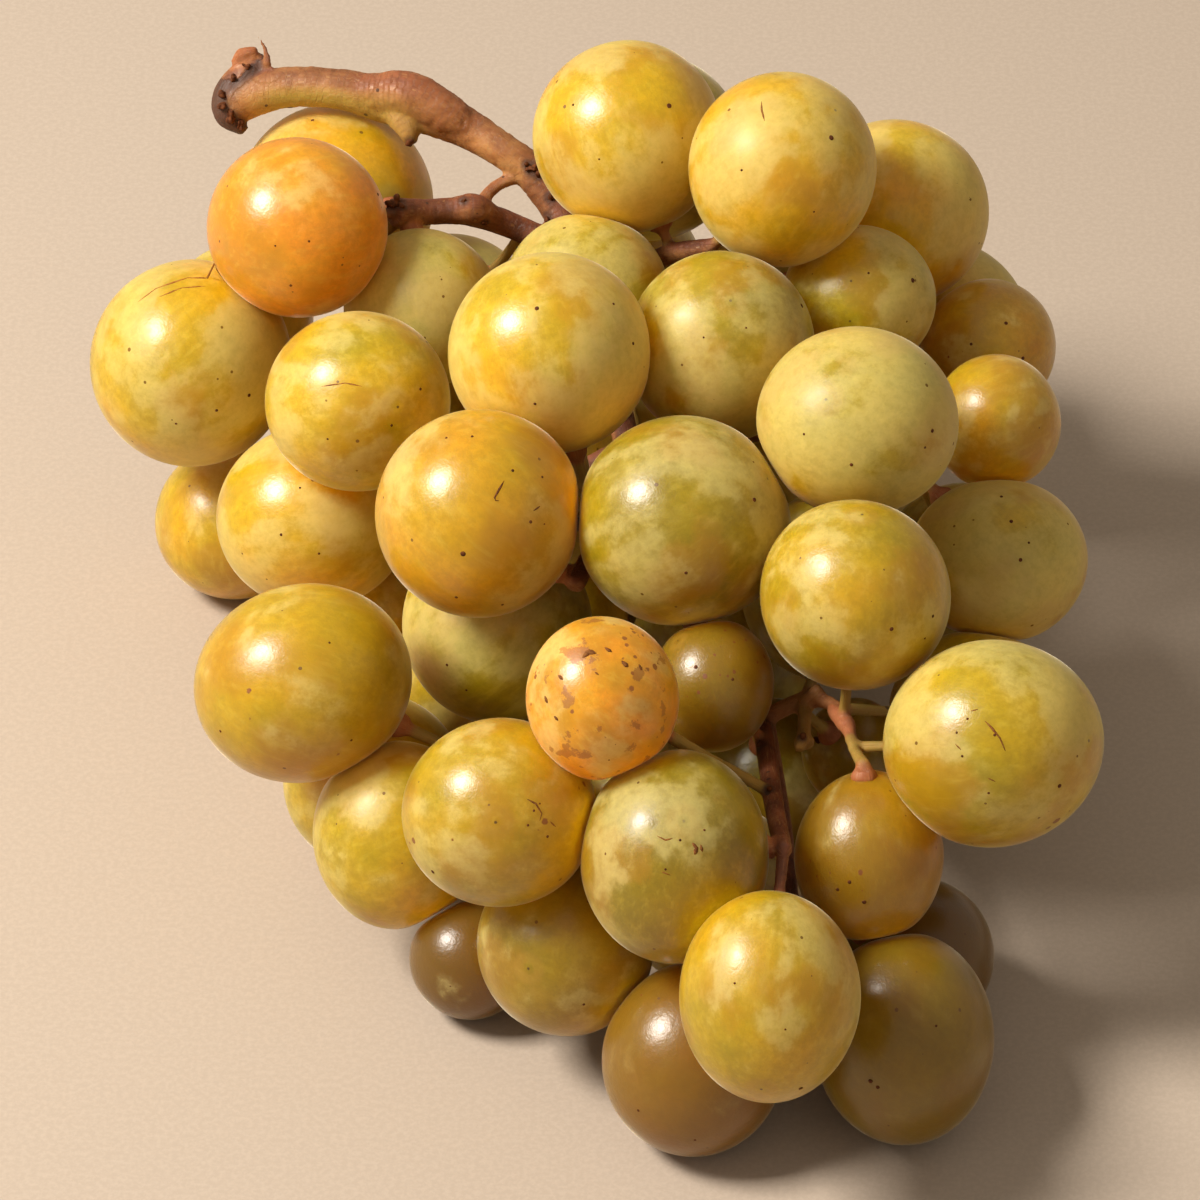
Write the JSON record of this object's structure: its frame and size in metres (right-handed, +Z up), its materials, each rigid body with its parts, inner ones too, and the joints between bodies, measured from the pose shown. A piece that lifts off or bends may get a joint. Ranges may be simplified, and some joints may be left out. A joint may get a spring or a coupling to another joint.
{
  "type": "bunch of grapes",
  "caption": "Bunch of white table grapes lying on its side, with a curved woody peduncle, side branches and tightly clustered berries.",
  "frame": {"origin": "centre of the bounding box on the surface that the bunch lies on", "axes": "+Z up from the surface, +Y from the tip of the bunch to its shoulder and peduncle, +X to the right as seen from the tip"},
  "size_m": [0.1238, 0.1601, 0.083],
  "materials": {
    "grape_skin": "waxy translucent skin with a pale bloom",
    "stem_wood": "rough woody stem"
  },
  "bodies": {
    "root": {"stem": "stem_wood", "berries_left_shoulder": "grape_skin", "berries_crown": "grape_skin", "berries_right_shoulder": "grape_skin", "berries_middle": "grape_skin", "berries_right_side": "grape_skin", "berries_lower_left": "grape_skin", "berries_tip": "grape_skin", "berries_back": "grape_skin", "berries_underside": "grape_skin"}
  },
  "joints": []
}
